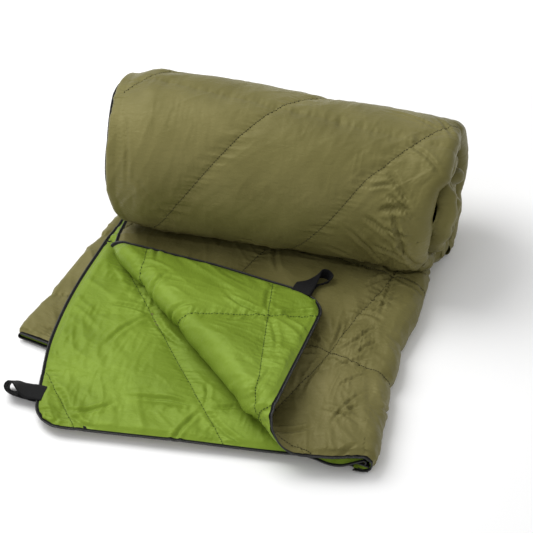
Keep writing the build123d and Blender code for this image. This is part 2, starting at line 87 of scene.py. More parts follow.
PITCH = 18.0             # one turn of the roll
ROLL_TURN_X = 206.0      # centre of the fold inside the roll
ROLL_TURN_R = 8.85
ROLL_EDGE_X = -210.65    # centre of the closed edge inside the roll
ROLL_EDGE_R = 4.35
ARC_RADIUS = 102.0       # arc lengths round the roll are measured at this radius
TURNS = 5.2
ARC_STEP = 3.4           # grid step round the ends of the roll
END_LAP = 16.0           # cloth of the end pieces that reaches in between the turns

# quilting seams: across x = start + pitch k + slope y, along y = start + pitch k + slope x
OUTER_SEAMS = ((205.0, 190.0, 0.40), (-382.3, 170.0, -0.255))
INNER_SEAMS = ((-272.3, 190.0, -0.69), (-356.6, 177.0, 0.255))
ROLL_SEAMS = ((-8.4, 190.0, -0.72), (0.5, 244.0, 0.10))
STITCH_PITCH = 3.7

# single folds of the roll: from x, y to x, y, then depth and width
ROLL_FOLDS = (
    (130, 60, 205, 120, 2.4, 2.6), (150, 95, 212, 128, 2.8, 2.6), (120, 130, 200, 165, 2.4, 3.0),
    (168, 110, 196, 178, 4.2, 3.2), (146, 122, 202, 110, 4.0, 3.4), (160, 140, 206, 150, 3.4, 2.6),
    (140, 170, 210, 190, 2.6, 2.8), (150, 20, 215, 70, 2.2, 2.4), (95, 150, 170, 215, 2.2, 3.0),
    (180, 150, 214, 215, 3.0, 2.6), (60, 190, 140, 235, 1.8, 3.2), (110, -40, 200, -10, 1.6, 2.4),
    (-180, 120, -130, 215, 1.4, 3.4), (-60, 200, 20, 240, 1.5, 3.0), (-200, 40, -188, 150, 1.5, 2.4),
    (176, -60, 212, 10, 2.2, 2.4), (125, 95, 168, 84, 1.8, 2.2),
)


# ---- helpers ----
def smooth(t):
    t = np.clip(t, 0.0, 1.0)
    return t * t * (3 - 2 * t)


def gauss(distance, width):
    return np.exp(-(distance / width)**2)


def noise(shape, across, along, rng, angle=0.0):
    """Smooth noise of unit strength; across and along are its sizes in grid steps, angle turns its grain."""
    wave = np.fft.fft2(rng.standard_normal(shape))
    fx = np.fft.fftfreq(shape[0])[:, None]
    fy = np.fft.fftfreq(shape[1])[None, :]
    u = (fx * math.cos(angle) + fy * math.sin(angle)) * across
    v = (fy * math.cos(angle) - fx * math.sin(angle)) * along
    out = np.fft.ifft2(wave * np.exp(-2 * math.pi**2 * (u**2 + v**2))).real
    return out / out.std()


def creases(shape, rng):
    """Sharp-topped wrinkles along one direction, in patches: large, two middle families and fine ones."""
    out = np.zeros(shape)
    families = (1.9, 1.7, 0.55), (1.0, 1.0, 0.3), (1.0, 0.7, 0.8), (0.5, 0.5, -0.05)
    for scale, weight, angle in families:
        ridge = 0.8 - np.abs(noise(shape, 3.4 * scale, 15.0 * scale, rng, angle))
        patch = smooth(0.5 + 0.45 * noise(shape, 18 * scale, 18 * scale, rng))
        out += weight * np.maximum(ridge, -0.7) * patch
    return out


def grid(a0, a1, b0, b1):
    a = np.linspace(a0, a1, int(round((a1 - a0) / STEP)) + 1)
    b = np.linspace(b0, b1, int(round((b1 - b0) / STEP)) + 1)
    return np.meshgrid(a, b, indexing="ij")


def finer(p):
    """Twice as many points along each side, on smooth curves through the old ones."""
    for _ in range(2):
        q = np.concatenate([2 * p[:1] - p[1:2], p, 2 * p[-1:] - p[-2:-1]])
        middle = (9 * (q[1:-2] + q[2:-1]) - q[:-3] - q[3:]) / 16
        out = np.empty((2 * len(p) - 1,) + p.shape[1:])
        out[::2] = p
        out[1::2] = middle
        p = out.swapaxes(0, 1)
    return p


def relax_lengths(p, rest):
    """Pull neighbouring rows of points to their rest lengths, every other pair first."""
    for first in (0, 1):
        a = p[first:-1:2]
        b = p[first + 1::2]
        gap = b - a
        length = np.maximum(np.linalg.norm(gap, axis=2, keepdims=True), 1e-6)
        move = gap * (0.5 * (1 - rest[first::2][..., None] / length))
        a += move
        b -= move


def settle(p, high, low, extra_a, extra_b, rng, rounds=90, stiff=0.10, push=0.05):
    """Cloth with a little extra length, let go between a low and a high surface until it wrinkles."""
    home = p[..., :2].copy()
    rest_a = np.linalg.norm(p[1:] - p[:-1], axis=2) * (1 + 0.5 * (extra_a[1:] + extra_a[:-1]))
    side = p.transpose(1, 0, 2)
    rest_b = np.linalg.norm(side[1:] - side[:-1], axis=2) * (1 + 0.5 * (extra_b[:, 1:] + extra_b[:, :-1]).T)
    z = p[..., 2]
    z += 0.4 * noise(z.shape, 2.0, 2.0, rng)
    for _ in range(rounds):
        lap = np.zeros_like(z)
        lap[1:-1] += z[2:] + z[:-2] - 2 * z[1:-1]
        lap[:, 1:-1] += z[:, 2:] + z[:, :-2] - 2 * z[:, 1:-1]
        z += stiff * lap + push
        relax_lengths(p, rest_a)
        relax_lengths(side, rest_b)
        p[..., :2] += 0.03 * (home - p[..., :2])
        for edge in (np.s_[0], np.s_[-1], np.s_[:, 0], np.s_[:, -1]):
            p[edge][..., :2] = home[edge]
        np.clip(z, low, high, out=z)
    return p


def seam_gaps(x, y, seams):
    """Distance to the nearest seam of each family, and the place along it."""
    (x0, px, kx), (y0, py, ky) = seams
    ta = (x - x0 - kx * y) / px
    tb = (y - y0 - ky * x) / py
    da = np.abs(ta - np.round(ta)) * px / math.hypot(1, kx)
    db = np.abs(tb - np.round(tb)) * py / math.hypot(1, ky)
    return da, db, y * math.hypot(1, kx), x * math.hypot(1, ky)


def skin(plan, seams, rng, full=HALF + PUFF, weak=0.0, tucks=(), least=None, edge=None, gather=0.02,
         extra=None, scale=None, hem=None, swell=16.0, sag=0.45, rounds=90, pucker=0.85, crease=1.2):
    """One cloth of a quilt as heights away from its mid-plane, gathered at the seams, on a finer grid.

    full and swell shape the pillow between seams, weak fades the second seam family, tucks are single folds,
    least is the least height, edge and hem are distances to the border and a hem, gather and extra are
    surplus cloth, scale thins the pillow, sag is how far the cloth may sink.
    """
    x, y = plan[..., 0], plan[..., 1]
    across_first, across_second, _, _ = seam_gaps(x, y, seams)
    near = np.minimum(across_first, across_second + weak)
    if hem is not None:
        near = np.minimum(near, hem(x))
    high = SEAM + (full - SEAM) * (1 - np.exp(-near / swell))
    if edge is not None:
        high = np.minimum(high, 0.3 + full * np.sqrt(1 - (1 - np.clip(edge / 10.0, 0, 1))**2))
    if scale is not None:
        high = high * scale
    extra_a = extra_b = gather + 0.03 * gauss(near, 12.0)
    if extra is not None:
        extra_a = extra_a + extra[0]
        extra_b = extra_b + extra[1]
    p = np.dstack([x, y, high * 0.85])
    p = finer(settle(p, high, high * (1 - sag), extra_a, extra_b, rng, rounds))
    flat = finer(plan)
    gap_first, gap_second, place_first, place_second = seam_gaps(flat[..., 0], flat[..., 1], seams)
    bumps = noise((1, 4096), 1.0, 2.8, rng)[0]
    for k, (gap, place) in enumerate(((gap_first, place_first), (gap_second + weak, place_second))):
        p[..., 2] += pucker * np.exp(-gap / 4.5) * np.cos(math.pi * place / STITCH_PITCH)
        gathers = np.interp((place + 900 * k) % 4000, np.arange(4096), bumps)
        p[..., 2] += pucker * 0.7 * gauss(gap - 6, 9) * gathers
    strength = np.broadcast_to(crease, x.shape) * (1.0 if edge is None else np.clip(edge / 8, 0, 1))
    p[..., 2] += finer(strength[..., None])[..., 0] * creases(p.shape[:2], rng)
    for tuck in tucks:
        p[..., 2] += fold_line(flat[..., 0], flat[..., 1], *tuck)
    if least is not None:
        p[..., 2] = np.maximum(p[..., 2], least)
    return p


FOLD_WIDTH = 2.5
RIM_X = 195.0


def fold_stars(seams, arms, seed):
    """Single folds that spread from each crossing of two seams: x, y to x, y, then depth and width."""
    (start_a, pitch_a, slope_a), (start_b, pitch_b, slope_b) = seams
    rng = np.random.default_rng(seed)
    folds = []
    for i, j in itertools.product(range(-3, 4), repeat=2):
        b = start_b + pitch_b * j
        x = (start_a + pitch_a * i + slope_a * b) / (1 - slope_a * slope_b)
        y = b + slope_b * x
        for k in range(arms):
            angle = 2 * math.pi * (k + rng.uniform(0.2, 0.8)) / arms
            reach = rng.uniform(45, 105)
            end = x + reach * math.cos(angle), y + reach * math.sin(angle)
            folds.append((x, y, *end, rng.uniform(1.6, 2.8), FOLD_WIDTH))
    return folds


def rim_folds(seed):
    """Single folds that run from the folded edge of the outer quilt into the cloth."""
    rng = np.random.default_rng(seed)
    folds = []
    for y in np.arange(-390.0, -90.0, 30.0):
        angle = rng.uniform(-0.4, 1.0)
        reach = rng.uniform(45, 95)
        end = RIM_X - reach * math.cos(angle), y - reach * math.sin(angle)
        folds.append((RIM_X, y, *end, rng.uniform(1.8, 2.6), FOLD_WIDTH))
    return folds


def fold_line(x, y, x0, y0, x1, y1, depth, width):
    """One sharp fold between two places: a groove with a ridge on each side, fading at its ends."""
    length = math.hypot(x1 - x0, y1 - y0)
    ux, uy = (x1 - x0) / length, (y1 - y0) / length
    along = ((x - x0) * ux + (y - y0) * uy) / length
    across = (y - y0) * ux - (x - x0) * uy + 0.06 * length * np.sin(3.1 * along)
    fade = smooth(3 * along) * smooth(3 * (1 - along))
    groove = np.exp(-np.abs(across) / width)
    ridge = gauss(np.abs(across) - 2.2 * width, 1.3 * width)
    return depth * fade * (0.7 * ridge - groove)


# ---- meshes ----
def quads(n, m, closed=False):
    """Faces of a grid of n by m points; closed joins its last column to its first."""
    i = np.arange(n - 1)[:, None] * m
    j = np.arange(m if closed else m - 1)[None, :]
    a = i + j
    b = i + (j + 1) % m
    return np.stack([a, a + m, b + m, b], -1).reshape(-1, 4)


def build(name, verts, faces, uv, material):
    """A smooth mesh object from vertices in millimetres and one UV per vertex."""
    mesh = bpy.data.meshes.new(name)
    mesh.vertices.add(len(verts))
    mesh.vertices.foreach_set("co", (np.asarray(verts, float) * MM).astype(np.float32).ravel())
    mesh.loops.add(faces.size)
    mesh.loops.foreach_set("vertex_index", faces.astype(np.int32).ravel())
    mesh.polygons.add(len(faces))
    mesh.polygons.foreach_set("loop_start", np.arange(0, faces.size, faces.shape[1], dtype=np.int32))
    mesh.update(calc_edges=True)
    layer = mesh.uv_layers.new(name="sheet")
    layer.data.foreach_set("uv", (uv[faces.ravel()] * MM).astype(np.float32).ravel())
    mesh.polygons.foreach_set("use_smooth", np.ones(len(faces), bool))
    mesh.validate()
    mesh.materials.append(material)
    obj = bpy.data.objects.new(name, mesh)
    bpy.context.scene.collection.objects.link(obj)
    return obj


def build_grid(name, points, uv, material, flip=False, closed=False, body="quilt", nodes=()):
    """A grid of points as one piece that rides on a body and takes the place of CAD nodes."""
    faces = quads(points.shape[0], points.shape[1], closed)
    if flip:
        faces = faces[:, ::-1]
    obj = build(name, points.reshape(-1, 3), faces, uv.reshape(-1, 2), material)
    if body:
        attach(obj, body)
    if nodes:
        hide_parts(*nodes)
    return obj


def sweep(path, out, profile):
    """Rings of a profile (outward, up) along a path: one profile for all, or one per point."""
    up = np.array([0.0, 0.0, 1.0])
    return path[:, None, :] + out[:, None, :] * profile[..., :1] + up * profile[..., 1:]


def resample(path, pitch):
    """Points at an even pitch along a path, and their places along it."""
    length = np.concatenate([[0], np.cumsum(np.linalg.norm(np.diff(path, axis=0), axis=1))])
    t = np.arange(0, length[-1], pitch)
    return np.stack([np.interp(t, length, path[:, k]) for k in range(3)], 1), t


def side_of(path):
    """Unit vectors in the sheet plane, to the right of a path."""
    along = np.gradient(path[:, :2], axis=0)
    along /= np.maximum(np.linalg.norm(along, axis=1, keepdims=True), 1e-9)
    return np.stack([along[:, 1], -along[:, 0], np.zeros(len(path))], 1)


# zips: how far tape and coil stand out from the cloth edge
TAPE_OUT = 2.6
COIL_CENTRE = 3.4
COIL_RADIUS = 1.05
COIL_PITCH = 1.9
ZIP_STEP = 0.5
TAPE_PROFILE = np.array([(-4, -0.25), (0, -0.28), (2, -0.28), (TAPE_OUT, -0.25), (TAPE_OUT + 0.2, 0),
                         (TAPE_OUT, 0.25), (2, 0.28), (0, 0.28), (-4, 0.25)])


def coil_profile(t, sides):
    """Rings of a zip coil: one bead per pitch."""
    angle = np.arange(sides) * 2 * math.pi / sides
    bead = COIL_RADIUS * (1 + 0.16 * np.cos(2 * math.pi * t / COIL_PITCH))[:, None]
    return np.stack([COIL_CENTRE + bead * np.cos(angle), bead * np.sin(angle)], -1)


# ---- places: from sheet space to the room ----
def upper_plan(a, b, belly, foot, corner):
    """Flat outline of an upper layer: corner is its radius, foot and belly move the foot and side edges."""
    u = np.clip((SIDE + corner - a) / corner, 0, 1)
    v = np.clip((FOOT + corner - b) / corner, 0, 1)
    a = np.where(u > 0, SIDE + corner - corner * u * np.sqrt(1 - v**2 / 2), a)
    b = np.where(v > 0, FOOT + corner - corner * v * np.sqrt(1 - u**2 / 2), b)
    t = np.clip((-30 - b) / 370, 0, 1)
    reach = np.clip((TURN_X - a) / WIDTH, 0, 1)
    x = a + belly(t) * reach**2
    y = b - foot(TURN_X - np.minimum(a, TURN_X)) * t
    return np.dstack([x, y])


def inner_foot(reach):
    return 0.0675 * reach


def outer_foot(reach):
    return np.interp(reach, (0, 40, 100, 160, 300, 415), (3, 12, 17, 14, 9, 4))


def inner_belly(t):
    return 7 * (1 - t) - 22 * np.sin(math.pi * t**1.2)


def outer_belly(t):
    return np.interp(t, (0.0, 0.25, 0.6, 0.85, 1.0), (13, 16, 15, 19, 24))


def press(y):
    """The stack is squeezed under the roll."""
    return np.interp(y, (-80, -60, -50, -40, -20), (1.0, 0.82, 0.73, 0.66, 0.57))


def fold_edge(y):
    """How far the folded edge stands in or out along its length."""
    notch = 2.0 * gauss(y + 268, 8) + 3.0 * gauss(y + 200, 7)
    places = (-400, -330, -260, -200, -150, -100, -60, -20)
    inset = np.interp(y, places, (20, 23, 28, 27, 20, 17, 19, 20))
    return -notch - inset + 2.0 * np.sin(y / 23.0)


def wrap(x, y, rho):
    """Flat to the left of the fold centre, round it beyond; rho is the height above that centre."""
    turn = np.clip((x - TURN_X) / TURN_Z, 0, math.pi)
    under = np.clip(x - TURN_X - math.pi * TURN_Z, 0, None)
    flat_x = np.minimum(x, TURN_X)
    px = flat_x + rho * np.sin(turn) - under
    px = px + fold_edge(y) * smooth((px - 90) / 110)
    z = TURN_Z + rho * np.cos(turn)
    return np.stack([px, y, np.maximum(z, 0.3) * press(y)], -1)


def fold_frames():
    """Ruling, crossing and normal of the cone at each angle, found in small steps of turning."""
    total = math.radians(FOLD_BORDERS[0] - FOLD_BORDERS[-1])
    steps = 1600
    dt = total / steps
    start = math.radians(FOLD_BORDERS[0])
    c, s = math.cos(start), math.sin(start)
    f = np.array([[c, s, 0], [s, -c, 0], [0, 0, 1.0]])
    rate = math.radians(FOLD_TURN) / ((1 - 2 * FLAT_SHARE) * total)
    frames = [f]
    for k in range(steps):
        share = (k + 0.5) / steps
        bend = rate if FLAT_SHARE < share < 1 - FLAT_SHARE else 0.0
        w = np.array([[0, 1, 0], [-1, 0, bend], [0, -bend, 0]]) * dt
        f = (np.eye(3) + w + w @ w / 2) @ f
        f /= np.linalg.norm(f, axis=1, keepdims=True)
        frames.append(f)
    return np.linspace(0, total, steps + 1), np.array(frames)


FOLD_AT, FOLD_FRAMES = fold_frames()


def sheet_angle(p):
    """Angle of a point of the flat sheet at the cone's tip, in degrees."""
    return np.degrees(np.arctan2(p[..., 1] - APEX[1], p[..., 0] - APEX[0]))


def outer_place(p):
    """Outer quilt, heights above its olive plane: flat, round the fold edge, or turned back."""
    x, y, h = p[..., 0], p[..., 1], p[..., 2]
    flat = wrap(x, y, TURN_Z + h)
    phi = np.radians(FOLD_BORDERS[0]) - np.arctan2(y - APEX[1], x - APEX[0])
    r = np.hypot(x - APEX[0], y - APEX[1])
    inside = np.clip(phi, 0, FOLD_AT[-1])
    rest = phi - inside
    g, t, n = (np.stack([np.interp(inside, FOLD_AT, FOLD_FRAMES[:, row, k]) for k in range(3)], -1)
               for row in range(3))
    g = g * np.cos(rest)[..., None] + t * np.sin(rest)[..., None]
    turned = np.array(APEX) + r[..., None] * g + h[..., None] * n
    return np.where((phi > 0)[..., None], turned, flat)


def lower_place(u, v, z):
    """Lower half, a skewed quadrilateral: u runs from its closed edge to the fold, v from roll to foot."""
    head = np.stack([SIDE + WIDTH * u, np.full_like(u, HEAD)], -1)
    foot = LOWER_TIP + np.subtract(LOWER_FOOT, LOWER_TIP) * u[..., None]
    xy = head + (foot - head) * v[..., None]
    x = xy[..., 0] + fold_edge(xy[..., 1]) * smooth((xy[..., 0] - 90) / 110)
    return np.stack([x, xy[..., 1], z * press(xy[..., 1])], -1)


def roll_base(x):
    """Radius of the roll's first skin; the roll is thicker at the zip end."""
    return 97.5 - 0.0228 * x


def end_pinch(x, phi):
    """The roll narrows over its last few centimetres at the zip end, most at the top."""
    top = np.clip(-np.cos(np.radians(phi)), 0, 1)
    return 12.0 * smooth((-162 - x) / 52) * (0.35 + 0.65 * top)


def roll_place(x, phi, depth):
    """A point of the roll: phi in degrees from the floor by way of the back, depth in from the first skin.

    The first turn swells a little at the fold end, so that the next one stands clear inside it.
    """
    turn, part = np.divmod(phi, 360.0)
    steps = turn + smooth((part - 305) / 55)
    foot = 7.5 * (1 - smooth(phi / 70))
    r = np.maximum(roll_base(x) - end_pinch(x, phi) - depth - PITCH * steps + foot, 1.0)
    angle = np.radians(phi)
    lean = smooth((ROLL_TURN_X - x) / 421)
    r = r + 3.0 * smooth((x - 150) / 50) * (phi < 352) * smooth((phi - 165) / 30)
    first = np.clip(phi, 0, 360)
    shift = np.interp(first, (0, 180, 270, 318, 360), (-3, -6, 4, 18, 14))
    shift = np.where(phi > 360, np.interp(phi, (360, 540), (14, -2)), shift)
    places = (0, 150, 195, 216, 226, 250, 300, 360)
    right = np.interp(first, places, (0, 0, 2, -2, -15, -22, -22, -8))
    right = np.where(phi > 360, 0, right) * smooth((x - 70) / 130)
    z = np.maximum(roll_base(x) + 8 - r * np.cos(angle), 0.3)
    return np.stack([x + shift * lean + right, r * np.sin(angle), z], -1)


def roll_skin_place(p):
    """First turn of the roll: a along it, s round it from the top to the front, h above the skin."""
    a, s, h = p[..., 0], p[..., 1], p[..., 2]
    right = np.clip((a - ROLL_TURN_X) / ROLL_TURN_R, 0, math.pi)
    left = np.clip((ROLL_EDGE_X - a) / ROLL_EDGE_R, 0, math.pi)
    x = np.clip(a, ROLL_EDGE_X, ROLL_TURN_X)
    x = x + (ROLL_TURN_R + h) * np.sin(right) - (ROLL_EDGE_R + h) * np.sin(left)
    at_edge = np.where(a < ROLL_EDGE_X, ROLL_EDGE_R - (ROLL_EDGE_R + h) * np.cos(left), -h)
    depth = np.where(a > ROLL_TURN_X, ROLL_TURN_R - (ROLL_TURN_R + h) * np.cos(right), at_edge)
    return roll_place(x, 180 + np.degrees(s / ARC_RADIUS), depth)


# ---- materials ----
def linear(level):
    return level / 12.92 if level <= 0.04045 else ((level + 0.055) / 1.055)**2.4


def srgb(r, g, b):
    return tuple(linear(c / 255) for c in (r, g, b)) + (1.0,)


class Nodes:
    """A material and its node tree, with short ways to add and link nodes."""

    def __init__(self, name):
        self.material = bpy.data.materials.new(name)
        self.material.use_nodes = True
        self.tree = self.material.node_tree
        self.surface = self.tree.nodes["Principled BSDF"]

    def add(self, kind, **settings):
        node = self.tree.nodes.new(kind)
        for key, value in settings.items():
            if key in node.inputs:
                node.inputs[key].default_value = value
            else:
                setattr(node, key, value)
        return node

    def link(self, a, out, b, into):
        self.tree.links.new(a.outputs[out], b.inputs[into])

    def ramp(self, source, *stops):
        """Base colour from a factor: first stop, last stop, then those between."""
        node = self.add("ShaderNodeValToRGB")
        elements = node.color_ramp.elements
        for element, (place, colour) in zip(elements, stops):
            element.position, element.color = place, colour
        for place, colour in stops[2:]:
            elements.new(place).color = colour
        self.link(source, "Fac", node, "Fac")
        self.link(node, "Color", self.surface, "Base Color")

    def roughness(self, source, low, high):
        node = self.add("ShaderNodeMapRange")
        node.inputs["To Min"].default_value = low
        node.inputs["To Max"].default_value = high
        self.link(source, "Fac", node, "Value")
        self.link(node, "Result", self.surface, "Roughness")

    def bump(self, source, out, strength, distance):
        node = self.add("ShaderNodeBump", Strength=strength, Distance=distance)
        self.link(source, out, node, "Height")
        self.link(node, "Normal", self.surface, "Normal")
        return node

    def mapping(self, texture, scale=(1, 1, 1), angle=0.0):
        uv = self.add("ShaderNodeUVMap", uv_map="sheet")
        place = self.add("ShaderNodeMapping")
        place.inputs["Scale"].default_value = scale
        place.inputs["Rotation"].default_value = (0, 0, angle)
        self.link(uv, "UV", place, "Vector")
        self.link(place, "Vector", texture, "Vector")

    def finish(self, **values):
        for key, value in values.items():
            self.surface.inputs[key.replace("_", " ")].default_value = value
        return self.material


def cloth(name, dark, mid, light, rough=0.44, sheen=0.07, weave=0.5):
    """Satin polyester: plain weave, fine crinkles, slow changes of tone, a soft sheen."""
    n = Nodes(name)
    tone = n.add("ShaderNodeTexNoise", Scale=9.0, Detail=4.0, Roughness=0.55)
    n.mapping(tone)
    n.ramp(tone, (0.28, dark), (0.74, light), (0.5, mid))
    threads = n.add("ShaderNodeMath", operation="MULTIPLY")
    for k, direction in enumerate("XY"):
        wave = n.add("ShaderNodeTexWave", bands_direction=direction, Scale=1.0, Distortion=0.3)
        n.mapping(wave, (450, 450, 1))
        n.link(wave, "Fac", threads, k)
    crinkle = n.add("ShaderNodeTexNoise", Scale=70.0, Detail=5.0, Roughness=0.62, Distortion=0.6)
    n.mapping(crinkle, (1.0, 2.2, 1), 0.35)
    fine = n.add("ShaderNodeBump", Strength=weave * 0.25, Distance=0.00012)
    n.link(threads, 0, fine, "Height")
    n.link(fine, "Normal", n.bump(crinkle, "Fac", 0.65, 0.0014), "Normal")
    n.roughness(crinkle, rough - 0.07, rough + 0.10)
    glint = tuple(min(1.0, 3.0 * c + 0.10) for c in light[:3]) + (1.0,)
    return n.finish(Sheen_Weight=sheen, Sheen_Roughness=0.4, Sheen_Tint=light, Specular_IOR_Level=0.36,
                    Specular_Tint=glint)


def woven(name, dark, light, threads, rough=0.75):
    """Twill weave for zip tape and webbing."""
    n = Nodes(name)
    rib = n.add("ShaderNodeTexWave", bands_direction="DIAGONAL", Scale=1.0, Distortion=0.4, Detail=1.0)
    n.mapping(rib, (threads, threads, 1))
    fuzz = n.add("ShaderNodeTexNoise", Scale=900.0, Detail=2.0)
    n.mapping(fuzz)
    mix = n.add("ShaderNodeMix", data_type="RGBA")
    mix.inputs[6].default_value = dark
    mix.inputs[7].default_value = light
    blend = n.add("ShaderNodeMath", operation="MULTIPLY")
    n.link(rib, "Fac", blend, 0)
    n.link(fuzz, "Fac", blend, 1)
    n.link(blend, 0, mix, 0)
    n.tree.links.new(mix.outputs[2], n.surface.inputs["Base Color"])
    n.bump(rib, "Fac", 0.6, 0.0003)
    return n.finish(Roughness=rough, Specular_IOR_Level=0.2, Sheen_Weight=0.03)


def hard(name, colour, wear, metallic, rough):
    """Moulded or cast part: fine grain, rubbed lighter where it is handled."""
    n = Nodes(name)
    place = n.add("ShaderNodeTexCoord")
    grain = n.add("ShaderNodeTexNoise", Scale=600.0, Detail=4.0)
    n.link(place, "Object", grain, "Vector")
    rub = n.add("ShaderNodeTexNoise", Scale=120.0, Detail=3.0)
    n.link(place, "Object", rub, "Vector")
    n.ramp(rub, (0.45, colour), (0.72, wear))
    n.roughness(grain, rough - 0.1, rough + 0.15)
    n.bump(grain, "Fac", 0.25, 0.0001)
    return n.finish(Metallic=metallic)


OLIVE = cloth("olive_cloth", srgb(91, 86, 48), srgb(104, 99, 59), srgb(116, 110, 69), rough=0.45)
LIME = cloth("lime_cloth", srgb(96, 117, 32), srgb(110, 132, 42), srgb(124, 147, 54), rough=0.42)
TAPE = woven("zip_tape_twill", srgb(7, 7, 8), srgb(22, 22, 24), 1500)
WEBBING = woven("black_webbing", srgb(7, 7, 8), srgb(24, 24, 26), 1100, rough=0.72)
COIL = hard("zip_coil_nylon", srgb(8, 8, 9), srgb(24, 24, 26), 0.0, 0.42)
METAL = hard("slider_black_metal", srgb(28, 28, 30), srgb(120, 118, 112), 0.85, 0.36)
# The olive thread is darker than the cloth: its colour is partly the thread's own and partly painted shade of
# the seam grooves.
OLIVE_THREAD_AND_PAINTED_SHADE = woven("olive_thread_and_painted_shade", srgb(38, 35, 16), srgb(62, 58, 30), 2500)
LIME_THREAD = woven("lime_thread", srgb(50, 68, 16), srgb(82, 104, 30), 2500)


# ---- stitches ----
def seam_paths(plan, seams, families=2):
    """Seam lines as fractional grid places, for the first family of seams or for both."""
    (x0, px, kx), (y0, py, ky) = seams
    x, y = plan[..., 0], plan[..., 1]
    lines = []
    values = ((x - x0 - kx * y) / px, False), ((y - y0 - ky * x) / py, True)
    for value, swap in values[:families]:
        v = value.T if swap else value
        for k in range(int(np.floor(v.min())), int(np.ceil(v.max())) + 1):
            points = []
            for j in range(v.shape[1]):
                column = v[:, j] - k
                cross = np.nonzero(column[:-1] * column[1:] <= 0)[0]
                if len(cross):
                    i = cross[0]
                    f = i + column[i] / (column[i] - column[i + 1] + 1e-12)
                    points.append((j, f) if swap else (f, j))
            if len(points) > 6:
                lines.append(np.array(points, float))
    return lines


def sample(p, at):
    """Bilinear value of a grid at fractional places."""
    i = np.clip(at[:, 0], 0, p.shape[0] - 1.001)
    j = np.clip(at[:, 1], 0, p.shape[1] - 1.001)
    i0, j0 = i.astype(int), j.astype(int)
    fi, fj = (i - i0)[:, None], (j - j0)[:, None]
    return (p[i0, j0] * (1 - fi) * (1 - fj) + p[i0 + 1, j0] * fi * (1 - fj)
            + p[i0, j0 + 1] * (1 - fi) * fj + p[i0 + 1, j0 + 1] * fi * fj)


# rings of one stitch: place along it, share of its width, height
THREAD_RINGS = (0.0, 0.5, -0.1), (0.2, 1.0, 0.45), (0.8, 1.0, 0.45), (1.0, 0.5, -0.1)
THREAD_HALF_WIDTH = 0.55
THREAD_LIFT = 0.15


def stitch_mesh(cloth_points, lines, sign=1.0, keep=None):
    """Short raised threads along the seams of a cloth, in the same space as the cloth."""
    verts, faces = [], []
    for line in lines:
        at = np.linspace(0, len(line) - 1, 4 * len(line))
        dense = np.stack([np.interp(at, np.arange(len(line)), line[:, k]) for k in range(2)], 1)
        path = sample(cloth_points, dense)
        path, _ = resample(path, STITCH_PITCH / 4)
        for k in range(0, len(path) - 4, 4):
            a, b = path[k], path[k + 3]
            if keep is not None and not keep(0.5 * (a + b)):
                continue
            along = b - a
            size = np.linalg.norm(along)
            if size < 1.0 or size > 6:
                continue
            side = np.array([-along[1], along[0], 0]) / size * THREAD_HALF_WIDTH
            top = np.array([0, 0, sign])
            base = len(verts)
            for f, w, h in THREAD_RINGS:
                c = a + along * f
                low, high = top * (THREAD_LIFT - 0.5), top * (THREAD_LIFT + h)
                verts += [c - side * w + low, c - side * w * 0.6 + high,
                          c + side * w * 0.6 + high, c + side * w + low]
            for r in range(3):
                for q in range(4):
                    i0 = base + 4 * r + q
                    i1 = base + 4 * r + (q + 1) % 4
                    faces.append((i0, i0 + 4, i1 + 4, i1))
    return np.array(verts), np.array(faces)


# ---- the roll ----
def make_roll():
    """Outer turn of the roll and its stitches."""
    rng = np.random.default_rng(11)
    a, s = grid(ROLL_EDGE_X - math.pi * ROLL_EDGE_R, ROLL_TURN_X + math.pi * ROLL_TURN_R,
                math.radians(-178) * ARC_RADIUS, math.radians(172) * ARC_RADIUS)
    plan = np.dstack([a, s])
    right = smooth((a - 110) / 95)
    front = smooth((s - 40) / 130)
    hem = gauss(a + 203, 9)
    crumple = right * (0.3 + front)
    edge_scale = 1 - 0.55 * smooth((ROLL_EDGE_X + 8 - a) / 10)
    p = skin(plan, ROLL_SEAMS, rng, full=6.5, gather=0.006,
             extra=(0.03 * front + 0.15 * crumple, 0.10 * crumple + 0.06 * hem),
             scale=edge_scale * (1 + 1.1 * right * front), hem=lambda x: np.abs(x + 203), swell=26.0, sag=0.6,
             rounds=120, pucker=0.75, crease=0.6 + 0.8 * crumple, weak=5.0, tucks=ROLL_FOLDS)
    build_grid("roll_shell", roll_skin_place(p), finer(plan), OLIVE, flip=True,
               nodes=("outer_shell", "inner_shell"))
    lines = seam_paths(finer(plan), ROLL_SEAMS, 1)
    verts, faces = stitch_mesh(p, lines, keep=lambda q: ROLL_EDGE_X + 6 < q[0] < ROLL_TURN_X + 6)
    points, uv = roll_skin_place(verts), verts[:, :2]
    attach(build("roll_stitches", points, faces, uv, OLIVE_THREAD_AND_PAINTED_SHADE), "quilt")


def end_place(w, phi, h, centre_x, radius, depth, hand, shift=0.0):
    """End of a rolled layer: w runs round a half circle, hand is the end it faces."""
    beta = np.clip(w / radius, 0, math.pi)
    straight = np.clip(-w, 0, None) + np.clip(w - math.pi * radius, 0, None)
    x = centre_x + shift + hand * ((radius + h) * np.sin(beta) - straight)
    return roll_place(x, phi, depth - (radius + h) * np.cos(beta))


def spiral(phi0, step):
    """Angles from phi0 to the end of the roll, at an even step along the spiral."""
    arc = [phi0]
    while arc[-1] < 360 * TURNS:
        arc.append(arc[-1] + math.degrees(step / max(14, 97 - PITCH * arc[-1] / 360)))
    return np.array(arc)


def end_grid(w0, w1, step, phi0):
    w = np.linspace(w0, w1, max(3, int(round((w1 - w0) / step)) + 1))
    return np.meshgrid(w, spiral(phi0, ARC_STEP), indexing="ij")


def end_uv(w):
    return np.dstack([w, np.cumsum(np.full(w.shape, ARC_STEP), axis=1)])


def end_drift(phi):
    """The turns don't end quite level at the zip end."""
    return 1.8 * np.sin(0.03 * phi)


